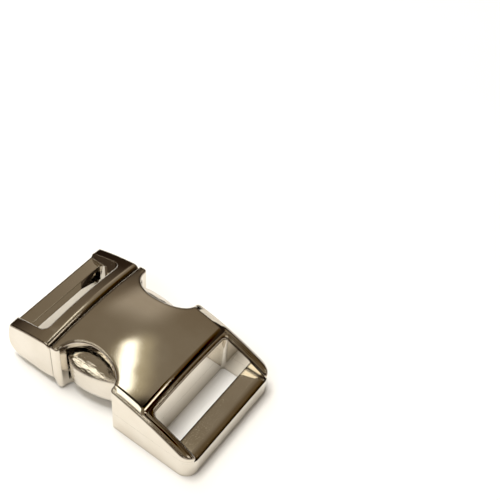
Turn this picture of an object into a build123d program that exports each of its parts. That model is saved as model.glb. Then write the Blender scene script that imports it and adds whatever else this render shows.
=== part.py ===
from build123d import *
import os

# Fastened side release buckle for cord, in millimetres.
# X runs from the clip's tip to the housing's loop, Y across the width, Z up from the surface it lies on.
# The origin is on that surface, under the middle of the fastened buckle.

# Overall sizes
buckle_width = 21.0
housing_length = 26.55
clip_length = 9.75
seam_gap = 0.2

# Crowned top, one surface over both pieces
crown_height = 10.85
crown_apex_from_mouth = 4.7
crown_side_drop = 0.75

# Housing
top_wall = 1.7
bottom_wall = 1.4
side_wall = 1.6
socket_depth = 14.2
mouth_under_round = 3.0
window_post = 1.5
window_front = 4.4
window_back = 5.8
window_depth = 4.0
loop_slot_width = 4.2
loop_rail = 1.75
end_bar_width = 3.85
end_bar_height = 3.7
rail_end_rise = 1.6
end_foot_round = 0.45
end_corner_excess = 0.4

# Clip frame
clip_underside = 1.05
seam_underside = 1.7
seam_underside_run = 3.0
tip_round = 2.5
tip_lean_radius = 12.0
clip_slot_width = 4.1
tip_bar_width = 2.9
tip_bar_height = 7.0
clip_rail = 1.8
clip_corner_round = 1.2

# Clip arms
arm_bottom_gap = 1.1
arm_top_gap = 0.75
arm_side_gap = 0.3
arm_width = 2.6
arm_length = 12.8
arm_root = 1.4
head_shoulder_gap = 0.2
head_peak_from_mouth = 4.2
head_side_inset = 0.95
head_tip_width = 0.84
head_side_drop = 1.5
head_nose_round = 1.6
shank_height = 3.2

# Edge rounding
housing_edge_round = 0.4
window_corner_round = 0.6
loop_edge_round = 0.6
loop_corner_round = 0.6
clip_edge_round = 0.4
clip_seam_round = 0.95
clip_tip_edge_round = 0.6

# Derived
half_width = buckle_width / 2
mouth_x = (clip_length - housing_length) / 2
crown_run = housing_length - crown_apex_from_mouth
crown_fall = crown_height - end_bar_height - rail_end_rise
crown_radius = (crown_run**2 + crown_fall**2) / (2 * crown_fall)
crown_axis_x = mouth_x + crown_apex_from_mouth
crown_axis_z = crown_height - crown_radius
crown_low = crown_radius - crown_side_drop
overshoot = 2.0
tiny = 0.001
above = crown_height + overshoot
slot_end = housing_length - end_bar_width
slot_start = slot_end - loop_slot_width
loop_half = half_width - loop_rail
end_corner_round = loop_rail + end_corner_excess
window_peak = window_post + window_front
window_end = window_peak + window_back + window_corner_round
window_flare_y = half_width - window_corner_round
clip_slot_outer = clip_length - tip_bar_width
clip_slot_inner = clip_slot_outer - clip_slot_width
clip_half = half_width - clip_rail
arm_bottom = bottom_wall + arm_bottom_gap
arm_outer = half_width - side_wall - arm_side_gap
arm_inner = arm_outer - arm_width
head_start = window_post + head_shoulder_gap
head_peak_y = half_width - head_side_inset
head_crest = crown_radius - top_wall - arm_top_gap
head_shoulder = head_crest - head_side_drop
shank_bottom = arm_bottom + head_nose_round
shank_top = shank_bottom + shank_height
head_tip_y = arm_inner + head_tip_width
side_plane = Plane(origin=(mouth_x, 0, 0), x_dir=(1, 0, 0), z_dir=(0, -1, 0))
crown_plane = Plane(origin=(crown_axis_x, 0, crown_axis_z), x_dir=(0, 1, 0), z_dir=(-1, 0, 0))
crown_axis = Axis((crown_axis_x, 0, crown_axis_z), (0, 1, 0))

os.makedirs("parts", exist_ok=True)


def plan(height):
    """Level plane at a height, with its origin above the mouth."""
    return Plane(origin=(mouth_x, 0, height))


def from_mouth(edge):
    """Distance of an edge's middle behind the mouth."""
    return edge.center().X - mouth_x


def crown_z(run, depth=0):
    """Height of the level middle of the crown at a run from the mouth, or of a surface under it."""
    return crown_axis_z + ((crown_radius - depth) ** 2 - (run - crown_apex_from_mouth) ** 2) ** 0.5


# Cross-section of the barrel that the crowned top is a part of, from its axis out
with BuildSketch(crown_plane) as crown_profile:
    with BuildLine():
        Polyline((-half_width, crown_low), (-half_width, 0), (half_width, 0), (half_width, crown_low))
        ThreePointArc((half_width, crown_low), (0, crown_radius), (-half_width, crown_low))
    make_face()


with BuildPart() as female_housing:
    revolve(crown_profile.sketch, axis=crown_axis)
    with BuildSketch(side_plane):
        with BuildLine():
            under = TangentArc((mouth_under_round, 0), (0, mouth_under_round), tangent=(-1, 0))
            foot = TangentArc(
                (housing_length, end_foot_round), (housing_length - end_foot_round, 0), tangent=(0, -1)
            )
            Polyline(under @ 1, (0, above), (housing_length, above), foot @ 0)
            Line(foot @ 1, under @ 0)
        make_face()
    extrude(amount=half_width, both=True, mode=Mode.INTERSECT)
    with BuildSketch(plan(0)) as outline:
        with Locations((housing_length / 2, 0)):
            Rectangle(housing_length, buckle_width)
        fillet(outline.vertices().group_by(Axis.X)[-1], end_corner_round)
    extrude(amount=above, mode=Mode.INTERSECT)
    # Loop for the cord
    with BuildSketch(plan(-overshoot)):
        with Locations(((slot_start + slot_end) / 2, 0)):
            Rectangle(loop_slot_width, 2 * loop_half)
    extrude(amount=above + overshoot, mode=Mode.SUBTRACT)
    with BuildSketch(plan(end_bar_height)):
        with Locations(((slot_start + housing_length + overshoot) / 2, 0)):
            Rectangle(housing_length + overshoot - slot_start, 2 * loop_half)
    extrude(amount=above, mode=Mode.SUBTRACT)
    corners = female_housing.edges().filter_by(Axis.Z).filter_by(
        lambda e: abs(from_mouth(e) - slot_start) < tiny
    )
    fillet(corners, loop_corner_round)
    in_loop = female_housing.edges().filter_by(
        lambda e: from_mouth(e) > slot_start - tiny and abs(e.center().Y) < loop_half + tiny
    )
    above_bar = in_loop.filter_by(lambda e: e.bounding_box().max.Z > end_bar_height + tiny)
    fillet(above_bar.filter_by(Axis.Z, reverse=True), loop_edge_round)
    # Side windows, each of two quarter ellipses that flare out into the side
    with BuildSketch(plan(-overshoot)):
        with BuildLine():
            centre = (window_peak, window_flare_y)
            depth = window_depth - window_corner_round
            front = EllipticalCenterArc(centre, window_front, depth, start_angle=180, arc_size=90)
            back = EllipticalCenterArc(centre, window_back, depth, start_angle=270, arc_size=90)
            front_flare = TangentArc(
                front @ 0,
                front @ 0 + Vector(-window_corner_round, window_corner_round),
                tangent=(0, 1),
            )
            back_flare = TangentArc(
                back @ 1,
                back @ 1 + Vector(window_corner_round, window_corner_round),
                tangent=(0, 1),
            )
            Polyline(
                back_flare @ 1,
                back_flare @ 1 + Vector(0, overshoot),
                front_flare @ 1 + Vector(0, overshoot),
                front_flare @ 1,
            )
        make_face()
        mirror(about=Plane.XZ)
    extrude(amount=above + overshoot, mode=Mode.SUBTRACT)
    rim = female_housing.edges().filter_by(
        lambda e: (abs(e.center().Y) > half_width - window_depth - tiny and from_mouth(e) < window_end + tiny)
        or from_mouth(e) < tiny
        or abs(e.center().Y) > half_width - tiny
    )
    rim = rim.filter_by(lambda e: e.center().Z > end_bar_height + tiny).filter_by(Axis.Z, reverse=True)
    fillet(rim, housing_edge_round)
    # Hollow for the clip's arms
    with BuildSketch(side_plane):
        with BuildLine():
            ceiling = ThreePointArc(
                (-overshoot, crown_z(-overshoot, top_wall)),
                (socket_depth / 2, crown_z(socket_depth / 2, top_wall)),
                (socket_depth, crown_z(socket_depth, top_wall)),
            )
            Polyline(ceiling @ 1, (socket_depth, bottom_wall), (-overshoot, bottom_wall), ceiling @ 0)
        make_face()
    extrude(amount=half_width - side_wall, both=True, mode=Mode.SUBTRACT)


# Clip's two arms: round-nosed heads behind straight shanks, crowned like the top above them
with BuildPart() as arms:
    with BuildSketch(plan(arm_bottom)):
        with BuildLine():
            shoulder = TangentArc(
                (head_peak_from_mouth, head_peak_y), (head_start, arm_outer), tangent=(-1, 0)
            )
            flank = TangentArc((head_peak_from_mouth, head_peak_y), (arm_length, head_tip_y), tangent=(1, 0))
            Polyline(
                flank @ 1,
                (arm_length, arm_inner),
                (-arm_root, arm_inner),
                (-arm_root, arm_outer),
                shoulder @ 1,
            )
        make_face()
        mirror(about=Plane.XZ)
    extrude(amount=above)
    with BuildSketch(crown_plane) as head_profile:
        with BuildLine():
            top = TangentArc((arm_inner, head_crest), (head_peak_y, head_shoulder), tangent=(1, 0))
            Polyline(top @ 1, (head_peak_y, 0), (arm_inner, 0), top @ 0)
        make_face()
        mirror(about=Plane.YZ)
    revolve(axis=crown_axis, mode=Mode.INTERSECT)
    with BuildSketch(side_plane):
        with BuildLine():
            nose = TangentArc(
                (head_start + head_nose_round, arm_bottom),
                (head_start, shank_bottom),
                tangent=(-1, 0),
            )
            brow = TangentArc(
                (head_start, shank_top),
                (head_start + head_nose_round, above),
                tangent=(0, 1),
            )
            Polyline(nose @ 1, (-arm_root, shank_bottom), (-arm_root, shank_top), brow @ 0)
            Polyline(brow @ 1, (arm_length, above), (arm_length, arm_bottom), nose @ 0)
        make_face()
    extrude(amount=half_width, both=True, mode=Mode.INTERSECT)


with BuildPart() as male_clip:
    revolve(crown_profile.sketch, axis=crown_axis)
    with BuildSketch(side_plane):
        with BuildLine():
            slope = TangentArc(
                (-seam_gap - seam_underside_run, clip_underside),
                (-seam_gap, seam_underside),
                tangent=(1, 0),
            )
            heel = TangentArc(
                (tip_round - clip_length, clip_underside),
                (-clip_length, clip_underside + tip_round),
                tangent=(-1, 0),
            )
            lean_rise = above - clip_underside - tip_round
            lean_run = tip_lean_radius - (tip_lean_radius**2 - lean_rise**2) ** 0.5
            lean = TangentArc(heel @ 1, (lean_run - clip_length, above), tangent=(0, 1))
            Line(slope @ 0, heel @ 0)
            Polyline(lean @ 1, (-seam_gap, above), slope @ 1)
        make_face()
    extrude(amount=half_width, both=True, mode=Mode.INTERSECT)
    top_edges = male_clip.edges().filter_by(
        lambda e: e.center().Z > tip_bar_height and abs(e.center().Y) < half_width - tiny
    )
    fillet(top_edges.sort_by(Axis.X)[-1], clip_seam_round)
    top_edges = male_clip.edges().filter_by(
        lambda e: e.center().Z > tip_bar_height and abs(e.center().Y) < half_width - tiny
    )
    fillet(top_edges.sort_by(Axis.X)[0], clip_tip_edge_round)
    fillet(male_clip.edges().filter_by(lambda e: abs(e.center().Y) > half_width - tiny), clip_edge_round)
    # Slot for the cord behind a low outer bar
    with BuildSketch(plan(tip_bar_height)) as recess:
        with Locations((-(clip_length + overshoot + clip_slot_inner) / 2, 0)):
            Rectangle(clip_length + overshoot - clip_slot_inner, 2 * clip_half)
        fillet(recess.vertices().group_by(Axis.X)[-1], clip_corner_round)
    extrude(amount=above, mode=Mode.SUBTRACT)
    with BuildSketch(plan(-overshoot)) as slot:
        with Locations((-(clip_slot_outer + clip_slot_inner) / 2, 0)):
            Rectangle(clip_slot_width, 2 * clip_half)
        fillet(slot.vertices(), clip_corner_round)
    extrude(amount=above, mode=Mode.SUBTRACT)
    add(arms.part)


female_housing.part.label = "female_housing"
export_step(female_housing.part, "parts/female_housing.step")
male_clip.part.label = "male_clip"
export_step(male_clip.part, "parts/male_clip.step")
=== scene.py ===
import math

import bpy
from mathutils import Euler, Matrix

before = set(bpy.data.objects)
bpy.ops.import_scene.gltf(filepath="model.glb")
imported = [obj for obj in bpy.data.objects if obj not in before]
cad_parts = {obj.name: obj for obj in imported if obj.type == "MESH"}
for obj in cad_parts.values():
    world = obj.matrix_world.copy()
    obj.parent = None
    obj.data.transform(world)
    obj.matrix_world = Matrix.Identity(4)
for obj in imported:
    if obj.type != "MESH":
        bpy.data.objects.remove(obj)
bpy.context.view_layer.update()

MM = 0.001

# Finish of each casting: colour, darker colour in its patches, seed of its noises, how uneven its casting is
# behind the mouth, and in millimetres how soft its edges are in front of the mouth and behind it, and how
# much softer they are on the surfaces that face up
FINISHES = {
    "female_housing": {
        "tint": (0.755, 0.71, 0.63),
        "patch": (0.7, 0.645, 0.555),
        "seed": 3.0,
        "cast": 0.0,
        "soft": (0.1, 0.1, 0.5),
    },
    "male_clip": {
        "tint": (0.745, 0.7, 0.625),
        "patch": (0.68, 0.63, 0.545),
        "seed": 11.0,
        "cast": 0.33,
        "soft": (0.1, 0.8, 0.3),
    },
}

# Place along X, in millimetres, past which the metal is behind the housing's mouth
BEHIND_MOUTH = -8.3

# Noises in the plating: size of the cells in millimetres, stretch along each axis, detail and roughness
NOISES = {
    "patches": {"size": 7.0, "stretch": (1.0, 1.0, 1.0), "detail": 3.0, "rough": 0.5},
    "buffing": {"size": 0.5, "stretch": (0.06, 1.0, 1.0), "detail": 4.0, "rough": 0.6},
    "pits": {"size": 0.18, "stretch": (1.0, 1.0, 1.0), "detail": 1.0, "rough": 0.5},
    "waves": {"size": 5.0, "stretch": (0.7, 1.0, 1.0), "detail": 1.0, "rough": 0.5},
    "casting": {"size": 0.9, "stretch": (0.5, 1.0, 1.0), "detail": 3.0, "rough": 0.5},
}

# Middle value of a noise
NOISE_MIDDLE = 0.5

# Values of the patches' noise at which the darker colour ends and the lighter one is full
PATCH_ENDS = (0.35, 0.6)

# Painted shade in tight corners: colour, reach of the corners in millimetres, how open the place is where
# the painted shade is full and where it ends, and samples
CORNER_SHADE = {"colour": (0.16, 0.11, 0.07), "reach": 1.0, "full": 0.15, "none": 0.85, "samples": 8}

# Roughness of the plating, and what the buffing lines and the patches add to it
ROUGHNESS = {"base": 0.045, "buffing": 0.08, "patches": 0.06}

# Relief in millimetres: value of the noise under which a pit opens, depth of the pits, height of the buffing
# lines and of the waves, and how strongly the relief shows
RELIEF = {"pit_start": 0.36, "pits": 0.03, "buffing": 0.0012, "waves": 0.012, "strength": 0.35}

# Painted dark reflection, a line along the rounded edges: upward share of the normal at its middle, how far
# to each side it reaches, over how much of that it fades, and how much it darkens
DARK_EDGE_REFLECTION = {"middle": 0.42, "half": 0.3, "fade": 0.12, "dark": 0.75}

# Samples of each rounded edge
EDGE_SAMPLES = 6

# Numbers of the sockets of a mix for its two colours and its result
MIXED_COLOURS = (6, 7)
MIXED_RESULT = 2

# Share of the normal along an axis from which a surface faces up, or faces along the axis of a wall
FACES_UP = 0.6
FACES_ALONG = 0.9

# Edges of the housing that the polishing has rolled over, in millimetres: where they start along X, their
# half width with 1 for a surface outside it and -1 for one inside it, where they fade in along X and fade
# out, heights of the surface, reach of the roll, and its slopes where it starts and at the edge
ROLLS = {
    "loop_rim": {
        "start": 9.5,
        "side": (9.35, 1),
        "fade_in": (0.0, 1.0),
        "fade_out": None,
        "level": (4.0, 20.0),
        "reach": 1.0,
        "slopes": (0.12, 0.6),
    },
    "bar_end": {
        "start": 18.15,
        "side": (20.0, 1),
        "fade_in": (0.0, 1.0),
        "fade_out": None,
        "level": (3.5, 3.9),
        "reach": 1.5,
        "slopes": (0.248, 0.62),
    },
    "rail_side": {
        "start": 0.0,
        "side": (10.25, -1),
        "fade_in": (2.0, 5.0),
        "fade_out": None,
        "level": (4.0, 20.0),
        "reach": 1.2,
        "slopes": (0.0, 0.6),
    },
    "shoulder": {
        "start": 0.0,
        "side": (10.25, -1),
        "fade_in": (2.6, 3.4),
        "fade_out": (6.5, 10.5),
        "level": (4.0, 20.0),
        "reach": 0.85,
        "slopes": (0.27, -0.12),
    },
}

# Walls in the clip's slot that lean back over their upper part: axis that they face along and the side of
# it, their place along that axis from and to, height where the lean starts, how much lower it starts at the
# far end of the slot, all in millimetres, and slope
LEANS = {
    "bar_wall": {"axis": "X", "side": 1, "span": (-15.5, -15.0), "start": 5.2, "lower": 1.4, "slope": 2.2},
    "end_wall": {"axis": "Y", "side": -1, "span": (8.4, 9.0), "start": 1.0, "lower": 0.0, "slope": 1.0},
}

# Where along Y the start of a lean begins to come lower, and over what length, in millimetres
FAR_END = {"start": 3.5, "length": 4.5}

# Shapes of each casting that its finish adds
FORMS = {
    "female_housing": {"rolls": ROLLS.values(), "leans": ()},
    "male_clip": {"rolls": (), "leans": LEANS.values()},
}

# Soft lamps in the room, and dark things in it as negative light, as reflected: place over the object (run
# and across for each unit of height), half length and half width, turn of the long side in degrees, soft
# rim, colour
LAMPS = {
    "strip": {
        "at": (-0.145, 0.305),
        "half": (0.15, 0.008),
        "turn": -46.0,
        "rim": 0.08,
        "light": (2.0, 1.95, 1.75),
    },
    "halo": {
        "at": (-0.11, 0.32),
        "half": (0.136, 0.03),
        "turn": -46.0,
        "rim": 0.16,
        "light": (0.3, 0.27, 0.17),
    },
    "glow": {
        "at": (-0.51, 0.85),
        "half": (0.1, 0.08),
        "turn": 0.0,
        "rim": 0.25,
        "light": (0.22, 0.2, 0.17),
    },
    "window": {
        "at": (-0.25, -0.8),
        "half": (0.5, 0.19),
        "turn": 0.0,
        "rim": 0.06,
        "light": (1.7, 1.65, 1.45),
    },
    "beam": {
        "at": (0.2, 0.065),
        "half": (0.42, 0.13),
        "turn": 35.0,
        "rim": 0.07,
        "light": (-0.235, -0.2, -0.147),
    },
    "shelf": {
        "at": (1.0, 0.22),
        "half": (0.12, 0.28),
        "turn": 0.0,
        "rim": 0.08,
        "light": (1.7, 1.6, 1.4),
    },
    "doorway": {
        "at": (1.1, 0.5),
        "half": (0.5, 0.6),
        "turn": 0.0,
        "rim": 0.4,
        "light": (-0.09, -0.085, -0.075),
    },
}

# Sine of the angle over the horizon under which no lamp shows, and the least one that places are divided by
LAMPS_OVER = 0.2
LEAST_HEIGHT = 0.05

# Room: colour towards each height above the horizon, as the sine of that angle
ROOM = [
    (0.0, (0.006, 0.004, 0.003)),
    (0.45, (0.03, 0.018, 0.01)),
    (0.6, (0.15, 0.115, 0.08)),
    (0.7, (0.205, 0.16, 0.108)),
    (1.0, (0.26, 0.218, 0.16)),
]

# Table top: radius in metres, sides, depth under the object in millimetres
TABLE = {"radius": 1.2, "sides": 96, "under": 0.01}

# Paper on the table: its two whites, the grain's values at each, roughness, gloss, and scale and detail of
# the grain
PAPER = {
    "whites": ((0.88, 0.87, 0.85), (0.92, 0.91, 0.89)),
    "ends": (0.0, 1.0),
    "rough": 0.9,
    "gloss": 0.1,
    "scale": 60.0,
    "detail": 4.0,
}

# Lights for the floor: azimuth and height in degrees, distance and side in metres, watts
FLOOR_LIGHTS = {
    "key": {"azimuth": -90.0, "height": 60.0, "distance": 0.75, "side": 0.5, "watts": 1.25},
    "fill": {"azimuth": 165.0, "height": 55.0, "distance": 0.8, "side": 0.6, "watts": 2.3},
    "top": {"azimuth": 200.0, "height": 80.0, "distance": 0.8, "side": 0.3, "watts": 4.5},
}
FLOOR_LIGHT_COLOUR = (1.0, 0.985, 0.955)

# Camera: focal length and sensor in millimetres, shift, nearest and farthest metre, place in metres, and
# turns in degrees
CAMERA = {
    "lens": 61.77,
    "sensor": 36.0,
    "shift": (0.131, -0.021),
    "clip": (0.01, 10.0),
    "place": (0.051858, -0.060485, 0.11367),
    "turns": (43.6552, -1.7216, 37.8437),
}


def node(tree, kind, **values):
    """A new node with its settings and unlinked inputs."""
    made = tree.nodes.new(kind)
    for name, value in values.items():
        if name in made.inputs:
            made.inputs[name].default_value = value
        else:
            setattr(made, name, value)
    return made


def link(tree, source, target):
    """Links two sockets."""
    tree.links.new(source, target)


def maths(tree, operation, *terms, clamp=False):
    """A maths node's result, with numbers or sockets as its terms."""
    made = tree.nodes.new("ShaderNodeMath")
    made.operation = operation
    made.use_clamp = clamp
    for slot, term in zip(made.inputs, terms):
        if isinstance(term, (int, float)):
            slot.default_value = term
        else:
            link(tree, term, slot)
    return made.outputs[0]


def axes(tree, vector):
    """The parts of a vector, by the letters of their axes."""
    made = node(tree, "ShaderNodeSeparateXYZ")
    link(tree, vector, made.inputs["Vector"])
    return made.outputs


def two_colours(tree, value, ends, colours):
    """Colour between two colours, from a value between two ends."""
    ramp = node(tree, "ShaderNodeValToRGB")
    for stop, end, colour in zip(ramp.color_ramp.elements, ends, colours):
        stop.position = end
        stop.color = (*colour, 1)
    link(tree, value, ramp.inputs["Fac"])
    return ramp.outputs["Color"]


def noise(tree, where, seed, size, stretch, detail, rough):
    """Value of a noise at each place."""
    place = node(tree, "ShaderNodeMapping", Scale=stretch, Location=(seed, seed, seed))
    link(tree, where, place.inputs["Vector"])
    made = node(tree, "ShaderNodeTexNoise", Scale=1 / (size * MM), Detail=detail, Roughness=rough)
    link(tree, place.outputs["Vector"], made.inputs["Vector"])
    return made.outputs["Fac"]


def bumped(tree, height, normal, strength):
    """The normal, bent by a height in millimetres."""
    made = node(tree, "ShaderNodeBump", Strength=strength, Distance=MM)
    link(tree, height, made.inputs["Height"])
    link(tree, normal, made.inputs["Normal"])
    return made.outputs["Normal"]


def roll(tree, place, start, side, fade_in, fade_out, level, reach, slopes):
    """Height of a rolled edge, in millimetres under the surface, from the place on it."""
    x, y, z = (maths(tree, "DIVIDE", place[axis], MM) for axis in "XYZ")
    half_width, outside = side
    ahead = maths(tree, "MAXIMUM", maths(tree, "SUBTRACT", start, x), 0.0)
    ahead = maths(tree, "MULTIPLY", ahead, max(outside, 0))
    beside = maths(tree, "SUBTRACT", maths(tree, "ABSOLUTE", y), half_width)
    beside = maths(tree, "MAXIMUM", maths(tree, "MULTIPLY", beside, outside), 0.0)
    squares = [maths(tree, "MULTIPLY", off, off) for off in (ahead, beside)]
    off = maths(tree, "SQRT", maths(tree, "ADD", *squares))
    share = maths(tree, "SUBTRACT", 1.0, maths(tree, "DIVIDE", off, reach), clamp=True)
    over = maths(tree, "GREATER_THAN", z, level[0])
    on = maths(tree, "MULTIPLY", over, maths(tree, "LESS_THAN", z, level[1]))
    past = maths(tree, "SUBTRACT", x, fade_in[0])
    on = maths(tree, "MULTIPLY", on, maths(tree, "DIVIDE", past, fade_in[1] - fade_in[0], clamp=True))
    if fade_out:
        left = maths(tree, "SUBTRACT", fade_out[1], x)
        on = maths(tree, "MULTIPLY", on, maths(tree, "DIVIDE", left, fade_out[1] - fade_out[0], clamp=True))
    bend = maths(tree, "MULTIPLY", maths(tree, "MULTIPLY", share, share), 0.5 * (slopes[1] - slopes[0]))
    fall = maths(tree, "ADD", bend, maths(tree, "MULTIPLY", share, slopes[0]))
    return maths(tree, "MULTIPLY", maths(tree, "MULTIPLY", fall, -reach), on)


def lean(tree, place, facing, axis, side, span, start, lower, slope):
    """Height of a leaning wall, in millimetres, from the place on it and the way that it faces."""
    off = maths(tree, "DIVIDE", place[axis], MM)
    on = maths(tree, "GREATER_THAN", maths(tree, "MULTIPLY", facing[axis], side), FACES_ALONG)
    for limit, test in zip(span, ("GREATER_THAN", "LESS_THAN")):
        on = maths(tree, "MULTIPLY", on, maths(tree, test, off, limit))
    far = maths(tree, "SUBTRACT", place["Y"], FAR_END["start"] * MM)
    far = maths(tree, "DIVIDE", far, FAR_END["length"] * MM, clamp=True)
    foot = maths(tree, "SUBTRACT", start, maths(tree, "MULTIPLY", far, lower))
    height = maths(tree, "DIVIDE", place["Z"], MM)
    rise = maths(tree, "MAXIMUM", maths(tree, "SUBTRACT", height, foot), 0.0)
    return maths(tree, "MULTIPLY", maths(tree, "MULTIPLY", rise, on), -slope)


def rounded(tree, soft, behind, facing):
    """The normal with soft edges."""
    edge = node(tree, "ShaderNodeBevel", samples=EDGE_SAMPLES)
    spread = maths(tree, "MULTIPLY", behind, (soft[1] - soft[0]) * MM)
    spread = maths(tree, "ADD", spread, soft[0] * MM)
    faces_up = maths(tree, "GREATER_THAN", facing["Z"], FACES_UP)
    spread = maths(tree, "ADD", spread, maths(tree, "MULTIPLY", faces_up, soft[2] * MM))
    link(tree, spread, edge.inputs["Radius"])
    return edge.outputs["Normal"]


def unshaded_share(tree, normal):
    """Share of metal without painted shade: less in tight corners, where shade is painted, and along the
    rounded edges, where a dark reflection is painted.
    """
    # Painted shade: the metal is darker where little of the room is open to it
    sky = node(tree, "ShaderNodeAmbientOcclusion", samples=CORNER_SHADE["samples"], Distance=CORNER_SHADE["reach"] * MM)
    free = node(tree, "ShaderNodeMapRange", interpolation_type="SMOOTHSTEP")
    free.inputs["From Min"].default_value = CORNER_SHADE["full"]
    free.inputs["From Max"].default_value = CORNER_SHADE["none"]
    link(tree, sky.outputs["AO"], free.inputs["Value"])
    # Painted dark reflection: a dark line where the normal of a rounded edge points part way up
    off_middle = maths(tree, "SUBTRACT", axes(tree, normal)["Z"], DARK_EDGE_REFLECTION["middle"])
    inside = maths(tree, "SUBTRACT", DARK_EDGE_REFLECTION["half"], maths(tree, "ABSOLUTE", off_middle))
    line = maths(tree, "DIVIDE", inside, DARK_EDGE_REFLECTION["fade"], clamp=True)
    off_line = maths(tree, "SUBTRACT", 1.0, maths(tree, "MULTIPLY", line, DARK_EDGE_REFLECTION["dark"]))
    return maths(tree, "MULTIPLY", free.outputs["Result"], off_line)


def painted_shading(tree, colour, unshaded):
    """Colour of the metal, darkened by painted shade in tight corners and painted dark reflections along the
    rounded edges.
    """
    # Painted shade colour mixed over the metal's own colour
    mix = node(tree, "ShaderNodeMix", data_type="RGBA")
    shade_colour, metal = (mix.inputs[number] for number in MIXED_COLOURS)
    shade_colour.default_value = (*CORNER_SHADE["colour"], 1)
    link(tree, colour, metal)
    link(tree, unshaded, mix.inputs["Factor"])
    return mix.outputs[MIXED_RESULT]


def gloss(tree, noises):
    """Roughness, which follows the buffing lines and the patches."""
    lines = maths(tree, "SUBTRACT", noises["buffing"], NOISE_MIDDLE)
    lines = maths(tree, "MULTIPLY", lines, ROUGHNESS["buffing"])
    cloudy = maths(tree, "MULTIPLY", noises["patches"], ROUGHNESS["patches"])
    return maths(tree, "ADD", maths(tree, "ADD", lines, cloudy), ROUGHNESS["base"], clamp=True)


def fine_relief(tree, noises, behind, cast):
    """Height of the pits, buffing lines, waves and the casting's skin, in millimetres."""
    pit = maths(tree, "SUBTRACT", RELIEF["pit_start"], noises["pits"], clamp=True)
    total = maths(tree, "MULTIPLY", pit, -RELIEF["pits"])
    for kind in ("buffing", "waves"):
        total = maths(tree, "ADD", total, maths(tree, "MULTIPLY", noises[kind], RELIEF[kind]))
    skin = maths(tree, "MULTIPLY", noises["casting"], behind)
    return maths(tree, "ADD", total, maths(tree, "MULTIPLY", skin, cast))


def polished_nickel(name, tint, patch, seed, cast, soft, rolls, leans):
    """Polished plating: nearly a mirror, with soft patches, buffing lines, fine pits, rolled edges, painted
    shade in tight corners and painted dark reflections along the rounded edges.
    """
    material = bpy.data.materials.new(name)
    material.use_nodes = True
    tree = material.node_tree
    tree.nodes.clear()
    output = node(tree, "ShaderNodeOutputMaterial")
    metal = node(tree, "ShaderNodeBsdfPrincipled", Metallic=1.0)
    link(tree, metal.outputs["BSDF"], output.inputs["Surface"])
    where = node(tree, "ShaderNodeTexCoord").outputs["Object"]
    noises = {kind: noise(tree, where, seed, **row) for kind, row in NOISES.items()}
    place = axes(tree, where)
    facing = axes(tree, node(tree, "ShaderNodeNewGeometry").outputs["Normal"])
    behind = maths(tree, "GREATER_THAN", place["X"], BEHIND_MOUTH * MM)
    normal = rounded(tree, soft, behind, facing)
    colour = two_colours(tree, noises["patches"], PATCH_ENDS, (patch, tint))
    # Base colour with painted shade in tight corners and painted dark reflections along the rounded edges
    link(tree, painted_shading(tree, colour, unshaded_share(tree, normal)), metal.inputs["Base Color"])
    link(tree, gloss(tree, noises), metal.inputs["Roughness"])
    heights = [roll(tree, place, **row) for row in rolls]
    heights += [lean(tree, place, facing, **row) for row in leans]
    for height in heights:
        normal = bumped(tree, height, normal, 1.0)
    normal = bumped(tree, fine_relief(tree, noises, behind, cast), normal, RELIEF["strength"])
    link(tree, normal, metal.inputs["Normal"])
    return material


def lamp(tree, height, run, across, at, half, turn, rim, light):
    """Light of one soft lamp over the object, seen in a direction."""
    cos, sin = math.cos(math.radians(turn)), math.sin(math.radians(turn))
    dx = maths(tree, "SUBTRACT", run, at[0])
    dy = maths(tree, "SUBTRACT", across, at[1])
    long = maths(tree, "ADD", maths(tree, "MULTIPLY", dx, cos), maths(tree, "MULTIPLY", dy, sin))
    wide = maths(tree, "SUBTRACT", maths(tree, "MULTIPLY", dy, cos), maths(tree, "MULTIPLY", dx, sin))
    squares = []
    for off, size in zip((long, wide), half):
        past = maths(tree, "SUBTRACT", maths(tree, "ABSOLUTE", off), size)
        past = maths(tree, "MAXIMUM", past, 0.0)
        squares.append(maths(tree, "MULTIPLY", past, past))
    gap = maths(tree, "SQRT", maths(tree, "ADD", *squares))
    fade = node(tree, "ShaderNodeMapRange", interpolation_type="SMOOTHSTEP")
    fade.inputs["From Max"].default_value = rim
    fade.inputs["To Min"].default_value = 1.0
    fade.inputs["To Max"].default_value = 0.0
    link(tree, gap, fade.inputs["Value"])
    up = maths(tree, "GREATER_THAN", height, LAMPS_OVER)
    shine = node(tree, "ShaderNodeVectorMath", operation="SCALE")
    shine.inputs[0].default_value = light
    link(tree, maths(tree, "MULTIPLY", fade.outputs["Result"], up), shine.inputs["Scale"])
    return shine.outputs["Vector"]


def room():
    """Dim warm room round a white table, with its soft lamps overhead."""
    world = bpy.data.worlds.new("room")
    bpy.context.scene.world = world
    world.use_nodes = True
    tree = world.node_tree
    tree.nodes.clear()
    output = node(tree, "ShaderNodeOutputWorld")
    back = node(tree, "ShaderNodeBackground", Strength=1.0)
    link(tree, back.outputs["Background"], output.inputs["Surface"])
    towards = axes(tree, node(tree, "ShaderNodeTexCoord").outputs["Generated"])
    height = towards["Z"]
    above = maths(tree, "MAXIMUM", height, LEAST_HEIGHT)
    run = maths(tree, "DIVIDE", towards["X"], above)
    across = maths(tree, "DIVIDE", towards["Y"], above)
    walls = node(tree, "ShaderNodeValToRGB")
    stops = walls.color_ramp.elements
    while len(stops) < len(ROOM):
        stops.new(1.0)
    for stop, (sine, colour) in zip(stops, ROOM):
        stop.position = sine
        stop.color = (*colour, 1)
    link(tree, height, walls.inputs["Fac"])
    total = walls.outputs["Color"]
    for row in LAMPS.values():
        more = node(tree, "ShaderNodeVectorMath", operation="ADD")
        link(tree, total, more.inputs[0])
        link(tree, lamp(tree, height, run, across, **row), more.inputs[1])
        total = more.outputs["Vector"]
    link(tree, total, back.inputs["Color"])


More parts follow.
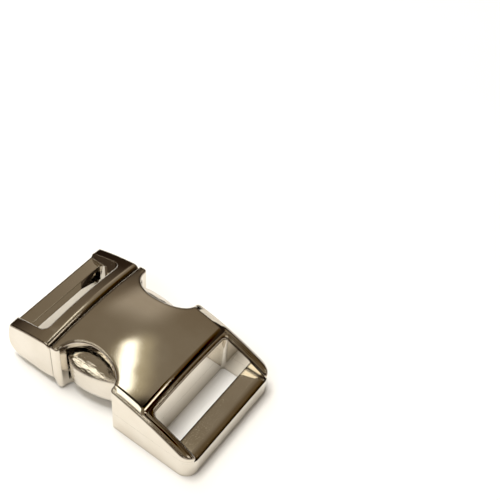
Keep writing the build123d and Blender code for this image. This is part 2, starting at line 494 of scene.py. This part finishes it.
def white_paper():
    """Dull white paper with a faint grain."""
    material = bpy.data.materials.new("white_paper")
    material.use_nodes = True
    tree = material.node_tree
    paper = tree.nodes["Principled BSDF"]
    paper.inputs["Roughness"].default_value = PAPER["rough"]
    paper.inputs["Specular IOR Level"].default_value = PAPER["gloss"]
    grain = node(tree, "ShaderNodeTexNoise", Scale=PAPER["scale"], Detail=PAPER["detail"])
    white = two_colours(tree, grain.outputs["Fac"], PAPER["ends"], PAPER["whites"])
    link(tree, white, paper.inputs["Base Color"])
    return material


def floor():
    """Wide round white table top."""
    radius = TABLE["radius"]
    turns = [2 * math.pi * i / TABLE["sides"] for i in range(TABLE["sides"])]
    rim = [(radius * math.cos(a), radius * math.sin(a), -TABLE["under"] * MM) for a in turns]
    mesh = bpy.data.meshes.new("table_top")
    mesh.from_pydata(rim, [], [tuple(range(len(rim)))])
    mesh.materials.append(white_paper())
    top = bpy.data.objects.new("table_top", mesh)
    bpy.context.scene.collection.objects.link(top)


def floor_light(name, azimuth, height, distance, side, watts):
    """Square soft light for the table, out of the metal's reflections."""
    data = bpy.data.lights.new(name, "AREA")
    data.shape = "SQUARE"
    data.size = side
    data.energy = watts
    data.color = FLOOR_LIGHT_COLOUR
    light = bpy.data.objects.new(name, data)
    a, e = math.radians(azimuth), math.radians(height)
    light.location = (
        distance * math.cos(a) * math.cos(e),
        distance * math.sin(a) * math.cos(e),
        distance * math.sin(e),
    )
    light.rotation_euler = (-light.location).to_track_quat("-Z", "Y").to_euler()
    light.visible_glossy = False
    bpy.context.scene.collection.objects.link(light)


def camera():
    """Camera at the photograph's angle."""
    data = bpy.data.cameras.new("camera")
    data.lens = CAMERA["lens"]
    data.sensor_width = CAMERA["sensor"]
    data.shift_x, data.shift_y = CAMERA["shift"]
    data.clip_start, data.clip_end = CAMERA["clip"]
    made = bpy.data.objects.new("camera", data)
    made.location = CAMERA["place"]
    made.rotation_euler = Euler([math.radians(a) for a in CAMERA["turns"]])
    bpy.context.scene.collection.objects.link(made)
    bpy.context.scene.camera = made


for name, finish in FINISHES.items():
    metal = polished_nickel(f"{name}_nickel", **finish, **FORMS[name])
    for slot in bpy.data.objects[name].material_slots:
        slot.material = metal

room()
floor()
for name, row in FLOOR_LIGHTS.items():
    floor_light(name, **row)
camera()
bpy.context.scene.view_settings.view_transform = "Standard"
